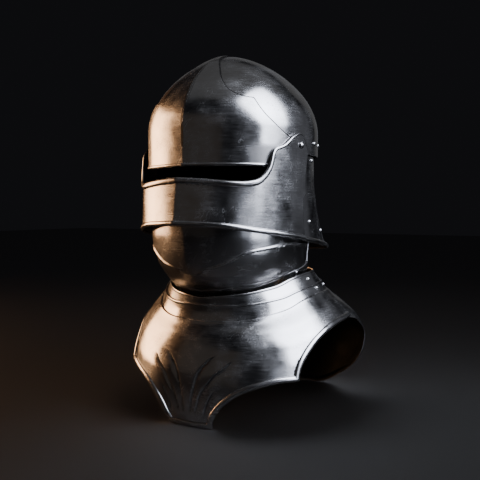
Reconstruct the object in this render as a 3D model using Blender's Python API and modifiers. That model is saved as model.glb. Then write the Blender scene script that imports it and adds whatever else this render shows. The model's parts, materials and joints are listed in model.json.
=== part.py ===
"""Sallet with a pivoted visor, a bevor and a gorget, standing on the floor as one set of armour.

Millimetres in the tables, metres in the scene. +Z is up, the face looks along -Y, +X is the wearer's left.
Every plate is a sheet laid over one of five carriers (skull, visor, tail, bevor, gorget) and given its wall.
Angles are measured round the upright axis: 0 at the face, 90 at the wearer's left ear, 180 behind.
"""
import math

import bmesh
import bpy
from mathutils import Matrix, Vector

MM = 0.001


def table(columns, *rows):
    """Named columns; the first one is what the others are looked up by."""
    return dict(zip(columns.split(), zip(*rows)))


# ---- driving sizes -------------------------------------------------------------------------------
CROWN = 475.5  # top of the skull above the floor
DOME = 102.5  # height of the rounded part of the skull
DOME_ARC = 168.0  # length of its side from the apex down
DOME_FOOT = CROWN - DOME
SKULL_SIDE, SKULL_FRONT, SKULL_REAR = 111.0, 104.5, 130.0
BROW_LEVEL = 324.0  # upper edge of the sight
SIGHT_LOW = 311.0  # lower edge of the sight on the middle line
CREASE_LEVEL = 342.0  # lower edge of the skull behind the ears
KEEL, KEEL_WIDTH = 5.0, 45.0  # ridge down the middle line
PIVOT_Y, PIVOT_Z = -19.0, 352.0
GORGET_MID = 35.0  # the gorget's oval lies behind the helmet's axis
SKULL_WALL, BROW_WALL, VISOR_WALL, TAIL_WALL = 1.8, 1.4, 1.8, 1.6
BEVOR_WALL, GORGET_WALL = 1.6, 1.5
LAYER = 2.2  # step from one overlapping plate to the next
BROW_LIFT = 1.1  # air between the skull and the brow plate
BEVOR_REACH, THROAT_REACH = 118.0, 112.0  # angles at which the bevor and its throat lame end
PIN_RADIUS, HOLE_RADIUS, RIVET_RADIUS = 3.0, 3.4, 3.1
FOOTPRINT_MID = 32.0  # the middle of the whole length lies this far behind the helmet's axis

# ---- tables --------------------------------------------------------------------------------------
# ogee upper edge of the brow plate on the skull: 0 at the apex, 1 at the foot of the dome
BROW_EDGE = table("angle place",
                  (0, 0.05), (6, 0.12), (12, 0.27), (20, 0.485), (24.9, 0.641), (31, 0.722), (40.8, 0.771),
                  (46, 0.777), (47.6, 0.803), (52, 0.888), (57.3, 0.95), (64, 1.013), (74, 1.08))
# visor's upper edge from the middle line along the sight and up the arm, with the rim's angle below it
VISOR_EDGE = table("share angle height foot",
                   (0, 0, 311, 0), (0.13, 14, 309.5, 10), (0.26, 28, 307.2, 19), (0.38, 39, 306, 28),
                   (0.50, 47, 308.3, 37), (0.57, 51.5, 314.5, 43), (0.63, 55, 325, 48), (0.70, 57.5, 340, 54),
                   (0.76, 60, 346.5, 59), (0.80, 66, 351, 64), (0.87, 74, 362.5, 71), (0.93, 81, 367.5, 77),
                   (1, 89.8, 348, 83.4))
# waves of the visor's rear edge
VISOR_REAR = table("share shift",
                   (0, 0), (0.3, -2.4), (0.42, -3), (0.5, 0.2), (0.58, -1.6), (0.75, -1.2), (1, 0))
# rim shared by visor and tail
RIM = table("angle height",
            (0, 252.3), (25, 250.4), (50, 243.4), (84, 232.7), (110, 223.5), (145, 212), (180, 208))
TAIL = table("height side rear",
             (208, 116.5, 198), (216, 115, 191), (232, 112.6, 170), (262, 110.5, 146), (290, 109.2, 132),
             (311, 108.4, 126), (352, 107.8, 124.5))
# spread is how far the rear corners stand out, down into the collar
BEVOR = table("height side front rear keel spread",
              (153, 68, 62, 78, 0, 14), (167, 74, 69, 80, 0.3, 15), (176, 79, 77.5, 83, 1, 15),
              (184, 84, 86.5, 87, 1.8, 15), (192, 88.5, 94.5, 92, 2.6, 13.6), (200, 93, 100.5, 96, 3.5, 10),
              (210, 99, 104.5, 102, 3.5, 4.8), (223, 104, 106.5, 108, 3.5, 1.4), (240, 105, 106, 110, 3.5, 0),
              (262, 105, 104, 110, 3.5, 0), (300, 105, 101, 110, 3.5, 0), (364, 105, 99, 112, 0, 0))
# bevor's upper edge, risen to two arms, and its lower edge
BEVOR_EDGE = table("angle top foot",
                   (0, 296, 160), (40, 296, 166), (56, 299, 168), (66, 312, 170), (72, 345, 172),
                   (76, 357, 173), (80, 361, 174), (84, 357, 175), (88, 345, 177), (94, 312, 180),
                   (104, 290, 184), (118, 276, 190))
THROAT_EDGE = table("angle top foot",
                    (0, 169.5, 154.5), (42, 177.5, 161.5), (63, 182, 165), (89, 190.5, 172), (100, 195.5, 176),
                    (112, 203, 181))
# gorget below its neck edge; side and rear lengths of the back half, and how square back and front are
GORGET = table("drop side front side_back rear square broad",
               (-36, 100, 114.6, 103, 88, 2, 2), (-33, 100.8, 114.6, 104, 89, 2, 2),
               (-13, 110.9, 114, 117, 100, 2, 2), (0, 117, 115.5, 123.5, 104, 2.1, 2),
               (20, 134, 126, 141, 118, 2.6, 2), (40, 147, 134.5, 155, 132, 3, 2),
               (65, 153, 140.5, 163, 147, 3.1, 2.08), (90, 156, 142, 158, 154, 3, 2.15),
               (112, 156, 141, 145, 159, 2.8, 2.15), (131, 152, 135, 132, 161, 2.8, 2.1),
               (172, 140, 134, 112, 165, 2.8, 2.1))
NECK_EDGE = table("angle height",
                  (0, 131.5), (25, 133.5), (38, 137), (49, 142), (58, 146.5), (70, 156), (80, 161), (90, 163),
                  (110, 165), (140, 167), (180, 168))
# upper edges of the two neck lames, as drops from the neck edge
LAME_EDGE = table("angle collar neck",
                  (0, -28.5, -20), (30, -31.5, -18.5), (55, -30, -15.5), (80, -28, -11.8), (180, -27, -11.5))
# outlines of the two big plates from the middle of the foot to the shoulder, with the neck's angle above
FRONT_OUTLINE = table("share angle drop neck",
                      (0, 0, 135, 0), (0.07, 11.3, 135, 7), (0.12, 12.8, 119, 13), (0.17, 15.5, 106.5, 19),
                      (0.22, 19, 98, 26), (0.28, 24.5, 88, 34), (0.36, 33, 80.5, 44), (0.46, 45, 78.3, 55),
                      (0.53, 54.5, 82, 62), (0.60, 55.2, 75.5, 68), (0.68, 57, 66, 75), (0.75, 61, 56, 82),
                      (0.83, 68, 47, 90), (0.91, 80, 40.5, 97), (1, 99, 36.5, 105))
BACK_OUTLINE = table("share angle drop neck",
                     (0, 180, 172, 180), (0.16, 166, 172, 167), (0.30, 152, 158, 155), (0.44, 138, 143, 143),
                     (0.58, 121, 124, 132), (0.70, 114.5, 100, 123), (0.80, 115.5, 70, 115),
                     (0.90, 112, 46, 107), (1, 97, 34, 99))


# ---- curves and carriers -------------------------------------------------------------------------
def along(x, xs, ys):
    """Smooth curve through the points (xs, ys), without overshoot."""
    if x <= xs[0]:
        return ys[0]
    if x >= xs[-1]:
        return ys[-1]
    i = max(k for k in range(len(xs) - 1) if xs[k] <= x)
    steps = [(ys[k + 1] - ys[k]) / (xs[k + 1] - xs[k]) for k in range(len(xs) - 1)]

    def slope(k):
        if k in (0, len(steps)):
            return steps[min(k, len(steps) - 1)]
        a, b = steps[k - 1], steps[k]
        return 0.0 if a * b <= 0 else 2 * a * b / (a + b)

    h = xs[i + 1] - xs[i]
    t = (x - xs[i]) / h
    bend = t * (1 - t) ** 2 * slope(i) - t * t * (1 - t) * slope(i + 1)
    return mix(ys[i], ys[i + 1], t * t * (3 - 2 * t)) + h * bend


def look(rows, x, column):
    return along(x, next(iter(rows.values())), rows[column])


def mix(a, b, t):
    return a + (b - a) * t


def ease(x, low, high):
    t = min(max((x - low) / (high - low), 0.0), 1.0)
    return t * t * (3 - 2 * t)


def oval(degrees, side, front, rear, keel=0.0, mid=0.0, square=2.0, broad=2.0):
    """Point of a level section: halves of two ovals joined at the ears, with a ridge on the middle line.

    square is the exponent of the rear half and broad that of the front half; 2 is an ellipse.
    """
    s, c = math.sin(math.radians(degrees)), math.cos(math.radians(degrees))
    power = 2 / (square if c < 0 else broad)
    s, c = math.copysign(abs(s) ** power, s), math.copysign(abs(c) ** power, c)
    x = side * s
    ridge = keel * max(0.0, 1 - abs(x) / KEEL_WIDTH) ** 2
    return x, mid - (front if c > 0 else rear) * c - math.copysign(ridge, c)


def skull_at(degrees, place):
    """Skull: place is the way down from the apex, 1 at the foot of the dome, more on the wall."""
    rise = math.cos(math.pi / 2 * min(place, 1.0))
    g = (1 - rise**1.92) ** (1 / 1.6)
    ridge = KEEL * min(1.0, 1.3 * g) * (1 if abs(degrees) < 90 else 0.4)
    x, y = oval(degrees, SKULL_SIDE * g, SKULL_FRONT * g, SKULL_REAR * g, ridge, square=2.15)
    return x, y, DOME_FOOT + DOME * rise - DOME_ARC * max(place - 1, 0.0)


def visor_at(degrees, height):
    t = min(max((SIGHT_LOW - height) / (SIGHT_LOW - 252.3), 0.0), 1.2)
    return *oval(degrees, 116.2 + 0.9 * t, 119.5 + 7.5 * t, 136, KEEL, broad=2 - 0.1 * t), height


def tail_at(degrees, height):
    side, rear = look(TAIL, height, "side"), look(TAIL, height, "rear")
    return *oval(degrees, side, 112, rear, 2.5), height


def bevor_at(degrees, height):
    side, front, rear, keel = (look(BEVOR, height, c) for c in ("side", "front", "rear", "keel"))
    spread = look(BEVOR, height, "spread") * ease(abs(degrees), 82, 120)
    return *oval(degrees, side + spread, front, rear + spread, keel), height


def gorget_at(degrees, drop):
    side, side_back = look(GORGET, drop, "side"), look(GORGET, drop, "side_back")
    side = mix(side, side_back, ease(abs(degrees), 98, 122))
    x, y = oval(degrees, side, look(GORGET, drop, "front"), look(GORGET, drop, "rear"), 0.0, GORGET_MID,
                look(GORGET, drop, "square"), look(GORGET, drop, "broad"))
    return x, y, look(NECK_EDGE, abs(degrees), "height") - drop


def pushed(carrier, a, b, out):
    """A point of a carrier moved square to it by `out`, and the direction it moved in."""
    here = Vector(carrier(a, b))
    across = Vector(carrier(a + 0.2, b)) - Vector(carrier(a - 0.2, b))
    upwards = Vector(carrier(a, b + 0.02)) - Vector(carrier(a, b - 0.02))
    way = across.cross(upwards).normalized()
    if way.dot(here - Vector((0, 20, here.z - 30))) < 0:
        way = -way
    return here + way * out, way


def roll(distance, width, height):
    """Height of a half-round roll that starts at a plate's edge."""
    t = min(max(distance / width, 0.0), 1.0)
    return height * math.sin(math.pi * t)


def banded(v, length, low, high):
    """Distance up a column whose first and last fifth are bands of fixed width."""
    if v < 0.2:
        return 5 * v * low
    if v > 0.8:
        return length - 5 * (1 - v) * high
    return mix(low, length - high, (v - 0.2) / 0.6)


# ---- building ------------------------------------------------------------------------------------
def collection(name):
    c = bpy.data.collections.new(name)
    bpy.context.scene.collection.children.link(c)
    return c


def metal(name, colour, roughness):
    m = bpy.data.materials.new(name)
    m.use_nodes = True
    shader = m.node_tree.nodes["Principled BSDF"]
    shader.inputs["Base Color"].default_value = (*colour, 1)
    shader.inputs["Metallic"].default_value = 1
    shader.inputs["Roughness"].default_value = roughness
    return m


def named(name, group):
    o = bpy.context.object
    o.name = o.data.name = name
    o.data.materials.append(steel)
    for c in list(o.users_collection):
        c.objects.unlink(o)
    group.objects.link(o)
    if group is tools:
        o.hide_render, o.display_type = True, "WIRE"
    return o


def sheet(name, columns, rows, place, wall):
    """Plate: a flat grid laid over place(u, v), u across and v up; the wall goes inwards."""
    bpy.ops.mesh.primitive_grid_add(x_subdivisions=len(columns) - 1, y_subdivisions=len(rows) - 1, size=2)
    o = named(name, armour)
    for v in o.data.vertices:
        i = round((v.co.x + 1) / 2 * (len(columns) - 1))
        j = round((v.co.y + 1) / 2 * (len(rows) - 1))
        v.co = [c * MM for c in place(columns[i], rows[j])]
    return walled(o, wall)


def walled(o, wall):
    """Gives a sheet its wall; short diagonals keep neighbouring plates clear of each other."""
    o.data.shade_smooth()
    solid = o.modifiers.new("wall", "SOLIDIFY")
    solid.thickness = wall * MM
    solid.offset = -1
    facets = o.modifiers.new("facets", "TRIANGULATE")
    facets.quad_method = "SHORTEST_DIAGONAL"
    return o


def shares(n, both_sides=False):
    return [i / n for i in range(-n if both_sides else 0, n + 1)]


def boolean(o, tool, operation="DIFFERENCE"):
    b = o.modifiers.new(tool.name, "BOOLEAN")
    b.operation, b.solver, b.object = operation, "EXACT", tool


def rivets(o, spots):
    """Domed heads soldered to a plate, each at a point with the direction it faces."""
    heads = bmesh.new()
    for point, way in spots:
        made = bmesh.ops.create_uvsphere(heads, u_segments=6, v_segments=4, radius=RIVET_RADIUS * MM)
        turn = way.to_track_quat("Z", "Y")
        for v in made["verts"]:
            v.co.z *= 0.5 if v.co.z > 0 else 0.25
            v.co = turn @ v.co + point * MM
    bpy.ops.mesh.primitive_grid_add()
    tool = named(o.name + "_rivets", tools)
    heads.to_mesh(tool.data)
    heads.free()
    boolean(o, tool, "UNION")


for old in list(bpy.data.objects):
    bpy.data.objects.remove(old)
armour = collection("Sallet with bevor")
tools = collection("Cutters")
steel = metal("steel", (0.33, 0.33, 0.34), 0.24)
BAND = [0, 0.1, 0.2]  # rows over a rolled edge
ROLLED_FOOT = BAND + [0.35, 0.5, 0.65, 0.8, 1]
ROLLED_BOTH = BAND + [0.4, 0.6, 0.8, 0.9, 1]

# ---- skull ---------------------------------------------------------------------------------------
DOME_RINGS, WALL_RINGS = 8, 2
bpy.ops.mesh.primitive_uv_sphere_add(segments=36, ring_count=2 * DOME_RINGS, radius=1)
skull = named("skull", armour)
ball = bmesh.new()
ball.from_mesh(skull.data)
for v in list(ball.verts):
    degrees = math.degrees(math.atan2(v.co.x, -v.co.y))
    ring = round(math.acos(max(-1.0, min(1.0, v.co.z))) / (math.pi / 2) * DOME_RINGS)
    if ring > DOME_RINGS + WALL_RINGS:
        ball.verts.remove(v)
        continue
    x, y, z = skull_at(degrees, min(ring / DOME_RINGS, 1.0))
    if ring > DOME_RINGS:
        foot = mix(BROW_LEVEL, CREASE_LEVEL, ease(abs(degrees), 58, 96))
        z = mix(DOME_FOOT, foot, (ring - DOME_RINGS) / WALL_RINGS)
    v.co = (x * MM, y * MM, z * MM)
ball.to_mesh(skull.data)
ball.free()
walled(skull, SKULL_WALL)
rivets(skull, [pushed(skull_at, side * angle, 1.09, 0) for angle in (103, 119, 137, 155) for side in (-1, 1)])


# ---- brow plate ----------------------------------------------------------------------------------
def brow_place(u, v):
    """Overlaid plate with a turned-out lip along the sight."""
    degrees = 74 * math.copysign(abs(u) ** 1.2, u)
    place = mix(1 + (DOME_FOOT - BROW_LEVEL) / DOME_ARC, look(BROW_EDGE, abs(degrees), "place"), v)
    lip = 1.6 * max(0.0, 1 - v / 0.06) * (1 - ease(abs(degrees), 50, 57))
    return pushed(skull_at, degrees, place, BROW_LIFT + BROW_WALL + lip)[0]


sheet("brow_plate", shares(11, True), [0, 0.06] + [i / 9 for i in range(1, 10)], brow_place, BROW_WALL)


# ---- visor ---------------------------------------------------------------------------------------
def visor_place(u, v):
    """Face plate with a rolled upper edge, side arms up to the pivots and a turned rim."""
    share = abs(u)
    top, height, foot = (look(VISOR_EDGE, share, c) for c in ("angle", "height", "foot"))
    low = look(RIM, foot, "height")
    length = math.hypot(height - low, 2 * (top - foot))
    up = banded(v, length, 6, 8)
    degrees = mix(foot, top, up / length) + look(VISOR_REAR, up / length, "shift") * share**6
    out = roll(length - up, 8, 2.6) + roll(up, 6, 2.4)
    return pushed(visor_at, math.copysign(degrees, u), mix(low, height, up / length), out)[0]


visor = sheet("visor", shares(15, True), ROLLED_BOTH, visor_place, VISOR_WALL)
hinge = bpy.data.objects.new("visor_hinge", None)
hinge.location = (0, PIVOT_Y * MM, PIVOT_Z * MM)
armour.objects.link(hinge)
visor.parent = hinge
visor.matrix_parent_inverse = Matrix.Translation(-hinge.location)


# ---- tail plate ----------------------------------------------------------------------------------
def tail_place(u, v):
    """Rear and sides below the skull: its head tucked inside it, its foot flared and rolled."""
    degrees = mix(85, 275, u)
    low = look(RIM, min(degrees, 360 - degrees), "height")
    up = banded(v, TAIL["height"][-1] - low, 6, 8)
    return pushed(tail_at, degrees - 360 if degrees > 180 else degrees, low + up, roll(up, 6, 2.4))[0]


tail = sheet("tail_plate", shares(20), ROLLED_FOOT, tail_place, TAIL_WALL)
TAIL_RIVETS = [(106, 336), (96, 256), (119, 243), (143, 235)]
rivets(tail, [pushed(tail_at, side * angle, height, 0) for angle, height in TAIL_RIVETS for side in (-1, 1)])


# ---- bevor ---------------------------------------------------------------------------------------
def bevor_place(u, v):
    """Chin and throat plate with a keel; two arms run up inside the skull to the pivots."""
    degrees = BEVOR_REACH * u
    top, foot = look(BEVOR_EDGE, abs(degrees), "top"), look(BEVOR_EDGE, abs(degrees), "foot")
    return pushed(bevor_at, degrees, mix(foot, top, v), 1.8 * ease(abs(u), 0.965, 1))[0]


BEVOR_COLUMNS = [0, 0.09, 0.18, 0.27, 0.36, 0.45, 0.52, 0.57, 0.61,
                 0.645, 0.68, 0.71, 0.745, 0.8, 0.88, 0.965, 1]
bevor = sheet("bevor_plate", [-u for u in BEVOR_COLUMNS[:0:-1]] + BEVOR_COLUMNS,
              [0, 0.05, 0.11, 0.18, 0.25, 0.35, 0.55, 0.75, 1], bevor_place, BEVOR_WALL)


def throat_place(u, v):
    """Lame under the bevor, lying on its outside down into the collar."""
    degrees = THROAT_REACH * u
    top, foot = look(THROAT_EDGE, abs(degrees), "top"), look(THROAT_EDGE, abs(degrees), "foot")
    return pushed(bevor_at, degrees, mix(foot, top, v), LAYER)[0]


# its columns stand over the bevor's, so that the two keep one distance
THROAT_COLUMNS = [0.09, 0.18, 0.27, 0.36, 0.45, 0.52, 0.61, 0.71, 0.8, 0.88]
THROAT_COLUMNS = [u * BEVOR_REACH / THROAT_REACH for u in THROAT_COLUMNS] + [1]
throat = sheet("bevor_throat_lame", [-u for u in THROAT_COLUMNS[::-1]] + [0] + THROAT_COLUMNS, [0, 0.5, 1],
               throat_place, GORGET_WALL)


# ---- gorget --------------------------------------------------------------------------------------
def lame(name, column, foot, first, last, layer):
    """Neck lame from its upper edge down to a foot hidden inside the plate below it."""
    def place(u, v):
        degrees = mix(first, last, u)
        if degrees > 180:
            degrees -= 360
        top = look(LAME_EDGE, abs(degrees), column)
        return pushed(gorget_at, degrees, mix(foot, top, v), -LAYER * layer)[0]

    return sheet(name, shares(20), [0, 0.35, 1], place, GORGET_WALL)


def fan(outline, turn, layer, plain_foot, plain_shoulder):
    """Plate spread from its neck edge to an outline, with a roll along the outline."""
    def place(u, v):
        share = abs(u)
        angle, drop, neck = (look(outline, share, c) for c in ("angle", "drop", "neck"))
        length = 1.1 * math.dist(gorget_at(angle, drop), gorget_at(neck, 0))
        up = banded(v, length, 7, 4)
        out = roll(up, 6.5, 2.0) * ease(share, plain_foot, plain_foot + 0.05)
        out *= 1 - ease(share, plain_shoulder - 0.1, plain_shoulder)
        degrees = math.copysign(mix(angle, neck, up / length), turn * u)
        return pushed(gorget_at, degrees, mix(drop, 0, up / length), out - LAYER * layer)[0]

    return place


collar = lame("front_collar_lame", "collar", -8, -104, 104, 2)
neck = lame("front_neck_lame", "neck", 5, -102, 102, 1)
lame("back_collar_lame", "collar", -6, 97, 263, 4)
back_neck = lame("back_neck_lame", "neck", 6, 96, 264, 3)
front = sheet("front_plate", shares(16, True), ROLLED_FOOT, fan(FRONT_OUTLINE, 1, 0, 0.05, 1.2), GORGET_WALL)
back = sheet("back_plate", shares(12, True), ROLLED_FOOT, fan(BACK_OUTLINE, -1, 2, 0.14, 0.9), GORGET_WALL)
rivets(collar, [pushed(gorget_at, side * 86, -20, -LAYER * 2) for side in (-1, 1)])
rivets(neck, [pushed(gorget_at, side * 90, -6, -LAYER) for side in (-1, 1)])
rivets(back_neck, [pushed(gorget_at, side * 116, -6, -LAYER * 3) for side in (-1, 1)])

# ---- level foot ----------------------------------------------------------------------------------
bpy.ops.mesh.primitive_cube_add(size=1)
floor = named("foot_cutter", tools)
for v in floor.data.vertices:
    v.co = (v.co.x * 0.5, v.co.y * 0.6 + 0.05, v.co.z * 0.05 - 0.025)
boolean(front, floor)
boolean(back, floor)


# ---- pivots --------------------------------------------------------------------------------------
def pivot(name, side):
    """Pivot pin with a domed head outside the visor's arm and a flat one inside the bevor's arm."""
    outline = [(98.2, 0), (98.2, 4.4), (99.6, 4.4), (99.6, PIN_RADIUS), (115.8, PIN_RADIUS),
               (115.8, 4.3), (117, 4), (118, 2.6), (118.4, 0)]
    profile = bmesh.new()
    spots = [profile.verts.new((side * x * MM, 0, r * MM)) for x, r in outline]
    for a, b in zip(spots, spots[1:]):
        profile.edges.new((a, b))
    bpy.ops.mesh.primitive_grid_add()
    o = named(name, armour)
    profile.to_mesh(o.data)
    profile.free()
    o.location = (0, PIVOT_Y * MM, PIVOT_Z * MM)
    turn = o.modifiers.new("turn", "SCREW")
    turn.axis, turn.steps, turn.render_steps = "X", 20, 20
    turn.use_merge_vertices, turn.merge_threshold = True, 0.00001
    turn.use_normal_flip = side > 0
    o.data.shade_smooth()
    return o


for name, side in (("pivot_left", 1), ("pivot_right", -1)):
    pivot(name, side)
    bpy.ops.mesh.primitive_cylinder_add(vertices=20, radius=HOLE_RADIUS * MM, depth=0.03)
    hole = named(name + "_hole", tools)
    for v in hole.data.vertices:
        v.co = (v.co.z + side * 0.108, v.co.x, v.co.y)
    hole.location = (0, PIVOT_Y * MM, PIVOT_Z * MM)
    for plate in (visor, skull, bevor):
        boolean(plate, hole)

# ---- place ---------------------------------------------------------------------------------------
for o in bpy.data.objects:
    if o.parent is None:
        o.location.y -= FOOTPRINT_MID * MM
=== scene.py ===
# %% [markdown]
# # A sallet with its bevor and gorget
#
# A sallet is a late Gothic helmet: a deep rounded skull, a plate over the brow, a pivoted visor and a tail
# that sweeps out over the neck. The bevor guards the chin and throat, and the gorget under it is a collar of
# lames between a fluted front plate and a plain back plate. All of it is sheet steel 1.3 to 1.8 mm thick,
# raised with hammers, then ground and polished.
#
# Bright metal shows its shape only through what it mirrors, so two things matter here: surfaces that are
# smooth where the armourer's were and crisp at each ridge, and large soft lights for them to mirror.

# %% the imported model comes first
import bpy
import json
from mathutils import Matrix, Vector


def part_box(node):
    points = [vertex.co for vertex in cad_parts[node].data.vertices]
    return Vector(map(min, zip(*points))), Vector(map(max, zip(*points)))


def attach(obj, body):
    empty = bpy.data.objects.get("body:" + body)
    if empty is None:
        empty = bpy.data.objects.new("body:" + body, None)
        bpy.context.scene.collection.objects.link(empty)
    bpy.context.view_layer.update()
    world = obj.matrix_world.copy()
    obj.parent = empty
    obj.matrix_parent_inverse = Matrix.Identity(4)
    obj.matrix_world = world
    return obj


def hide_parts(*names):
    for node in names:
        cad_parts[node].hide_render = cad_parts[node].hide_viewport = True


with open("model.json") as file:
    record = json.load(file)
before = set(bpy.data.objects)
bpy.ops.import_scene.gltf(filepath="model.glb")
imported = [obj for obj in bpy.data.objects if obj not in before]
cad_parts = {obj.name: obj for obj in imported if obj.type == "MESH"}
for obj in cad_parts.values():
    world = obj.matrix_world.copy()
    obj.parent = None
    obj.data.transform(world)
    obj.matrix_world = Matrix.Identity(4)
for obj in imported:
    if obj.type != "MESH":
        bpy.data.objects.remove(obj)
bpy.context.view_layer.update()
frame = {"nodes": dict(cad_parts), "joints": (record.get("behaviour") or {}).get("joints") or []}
print("nodes:", ", ".join(sorted(frame["nodes"])))

# %% the other tools
import json
import math

import bmesh
import bpy
import numpy as np
from mathutils import Matrix, Vector, noise

MM = 0.001  # the tables are in millimetres, the scene in metres

# %% [markdown]
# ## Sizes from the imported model
#
# Every size that the model can tell is read from it: the crown's height, the skull's half width, the pivots.
# The helmet's upright axis lies a little behind its pivots, and all the tables below are measured from it.
# The other sizes here are heights above the floor and the few that shape the helmet's sections.

# %% driving sizes
PIVOT = Vector(frame["joints"][0]["pos_m"]) / MM
AXIS_BEHIND_PIVOT = 19.0
AXIS_Y = PIVOT.y + AXIS_BEHIND_PIVOT
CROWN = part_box("skull")[1].z / MM
SKULL_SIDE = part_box("skull")[1].x / MM
SKULL_FRONT, SKULL_REAR = SKULL_SIDE - 6.5, SKULL_SIDE + 19
DOME, DOME_ARC = 102.5, 168.0  # height of the rounded part, and its length over the side
DOME_PEAK, DOME_FULLNESS, DOME_SQUARE = 1.92, 1.6, 2.15  # a pointed top, full shoulders, a broad back
DOME_FOOT = CROWN - DOME
BROW_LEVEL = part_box("skull")[0].z / MM
SIGHT_LOW, RIM_FRONT = 311.0, 252.3
CREASE_LEVEL = 342.0
KEEL, KEEL_WIDTH = 5.0, 45.0
GORGET_MID = 35.0  # the gorget's own axis lies this far behind the helmet's
print("pivots at", [round(c, 1) for c in PIVOT])
print("axis at y", round(AXIS_Y, 1), "crown at", round(CROWN, 1))

# %% [markdown]
# ## Curves through a few measures
#
# An armourer checks a plate against a handful of measures and lets the hammer run fair between them. `along`
# does the same: it draws a smooth curve through the rows of a short table and never overshoots them. It works
# on whole arrays, since a plate here has tens of thousands of points.

# %% tables and fair curves
def table(columns, *rows):
    return dict(zip(columns.split(), np.array(rows, float).T))


def along(x, xs, ys):
    x = np.clip(x, xs[0], xs[-1])
    i = np.clip(np.searchsorted(xs, x, side="right") - 1, 0, len(xs) - 2)
    steps = np.diff(ys) / np.diff(xs)
    a, b = steps[:-1], steps[1:]
    same_way = a * b > 0
    bends = np.where(same_way, 2 * a * b / np.where(same_way, a + b, 1), 0)
    slopes = np.concatenate([steps[:1], bends, steps[-1:]])
    h = xs[i + 1] - xs[i]
    t = (x - xs[i]) / h
    bend = t * (1 - t) ** 2 * slopes[i] - t * t * (1 - t) * slopes[i + 1]
    return mix(ys[i], ys[i + 1], t * t * (3 - 2 * t)) + h * bend


def look(rows, x, column):
    return along(x, next(iter(rows.values())), rows[column])


def mix(a, b, t):
    return a + (b - a) * t


def ease(x, low, high):
    t = np.clip((x - low) / (high - low), 0, 1)
    return t * t * (3 - 2 * t)


# %% [markdown]
# ## The five carriers
#
# Each plate lies on one of five surfaces. A carrier takes an angle round the upright axis (0 at the face, 90
# at the wearer's ear, 180 behind) and a second measure, a height or a way down, and gives the point there.
# The ridge down the middle of the helmet is a real crease, because on a polished plate the two sides of it
# mirror two quite different parts of the room.

# %% what the carriers are drawn from
TAIL = table("height side rear",
             (208, 116.5, 198), (216, 115, 191), (232, 112.6, 170), (262, 110.5, 146), (290, 109.2, 132),
             (311, 108.4, 126), (352, 107.8, 124.5))
BEVOR = table("height side front rear keel spread",
              (153, 68, 62, 78, 0, 14), (167, 74, 69, 80, 0.3, 15), (176, 79, 77.5, 83, 1, 15),
              (184, 84, 86.5, 87, 1.8, 15), (192, 88.5, 94.5, 92, 2.6, 13.6), (200, 93, 100, 96, 3.5, 10),
              (210, 98, 103.2, 101, 3.5, 4.8), (223, 102.2, 105.6, 106, 3.5, 1.4),
              (240, 104.8, 107.8, 109, 3.5, 0), (262, 106, 108.5, 110, 3.5, 0),
              (300, 105.5, 104, 110, 3.5, 0), (364, 105, 99, 112, 0, 0))
GORGET = table("drop side front side_back rear square broad",
               (-36, 100, 114.6, 103, 88, 2, 2), (-33, 100.8, 114.6, 104, 89, 2, 2),
               (-13, 110.9, 114, 117, 100, 2, 2), (0, 117, 115.5, 123.5, 104, 2.1, 2),
               (20, 134, 126, 141, 118, 2.6, 2), (40, 147, 134.5, 155, 132, 3, 2),
               (65, 153, 140.5, 163, 147, 3.1, 2.08), (90, 156, 142, 158, 154, 3, 2.15),
               (112, 156, 141, 145, 159, 2.8, 2.15), (131, 152, 135, 132, 161, 2.8, 2.1),
               (172, 140, 134, 112, 165, 2.8, 2.1))
NECK_EDGE = table("angle height",
                  (0, 131.5), (25, 133.5), (38, 137), (49, 142), (58, 146.5), (70, 156), (80, 161), (90, 163),
                  (110, 165), (140, 167), (180, 168))


# %% the carriers
def oval(degrees, side, front, rear, keel=0.0, mid=0.0, square=2.0, broad=2.0):
    """A level section: two half ovals joined at the ears; square and broad are their exponents."""
    s, c = np.sin(np.radians(degrees)), np.cos(np.radians(degrees))
    power = 2 / np.where(c < 0, square, broad)
    s, c = np.sign(s) * np.abs(s) ** power, np.sign(c) * np.abs(c) ** power
    x = side * s
    ridge = keel * np.maximum(0, 1 - np.abs(x) / KEEL_WIDTH) ** 2
    return x, mid - np.where(c > 0, front, rear) * c - np.where(c > 0, ridge, -ridge)


def skull_at(degrees, place):
    """place is the way down from the apex: 1 at the foot of the dome, more on the wall under it."""
    rise = np.cos(np.pi / 2 * np.minimum(place, 1))
    girth = (1 - rise**DOME_PEAK) ** (1 / DOME_FULLNESS)
    ridge = KEEL * np.minimum(1, 1.3 * girth) * mix(1, 0.4, ease(degrees, 55, 125))
    x, y = oval(degrees, SKULL_SIDE * girth, SKULL_FRONT * girth, SKULL_REAR * girth, ridge,
                square=DOME_SQUARE)
    return np.stack([x, y, DOME_FOOT + DOME * rise - DOME_ARC * np.maximum(place - 1, 0)], -1)


def visor_at(degrees, height):
    """The visor spreads a little at the sides and much more in front on the way down to its rim."""
    down = np.clip((SIGHT_LOW - height) / (SIGHT_LOW - RIM_FRONT), 0, 1.2)
    x, y = oval(degrees, 116.2 + 0.9 * down, 119.5 + 7.5 * down, 136.0, KEEL, broad=2 - 0.1 * down)
    return np.stack([x, y, height + 0 * x], -1)


def tail_at(degrees, height):
    x, y = oval(degrees, look(TAIL, height, "side"), 112.0, look(TAIL, height, "rear"), 2.5)
    return np.stack([x, y, height + 0 * x], -1)


def bevor_at(degrees, height):
    """spread opens the foot of the bevor behind the ears, where it lies over the collar."""
    side, front, rear, keel = (look(BEVOR, height, c) for c in ("side", "front", "rear", "keel"))
    spread = look(BEVOR, height, "spread") * ease(np.abs(degrees), 82, 120)
    x, y = oval(degrees, side + spread, front, rear + spread, keel)
    return np.stack([x, y, height + 0 * x], -1)


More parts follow.
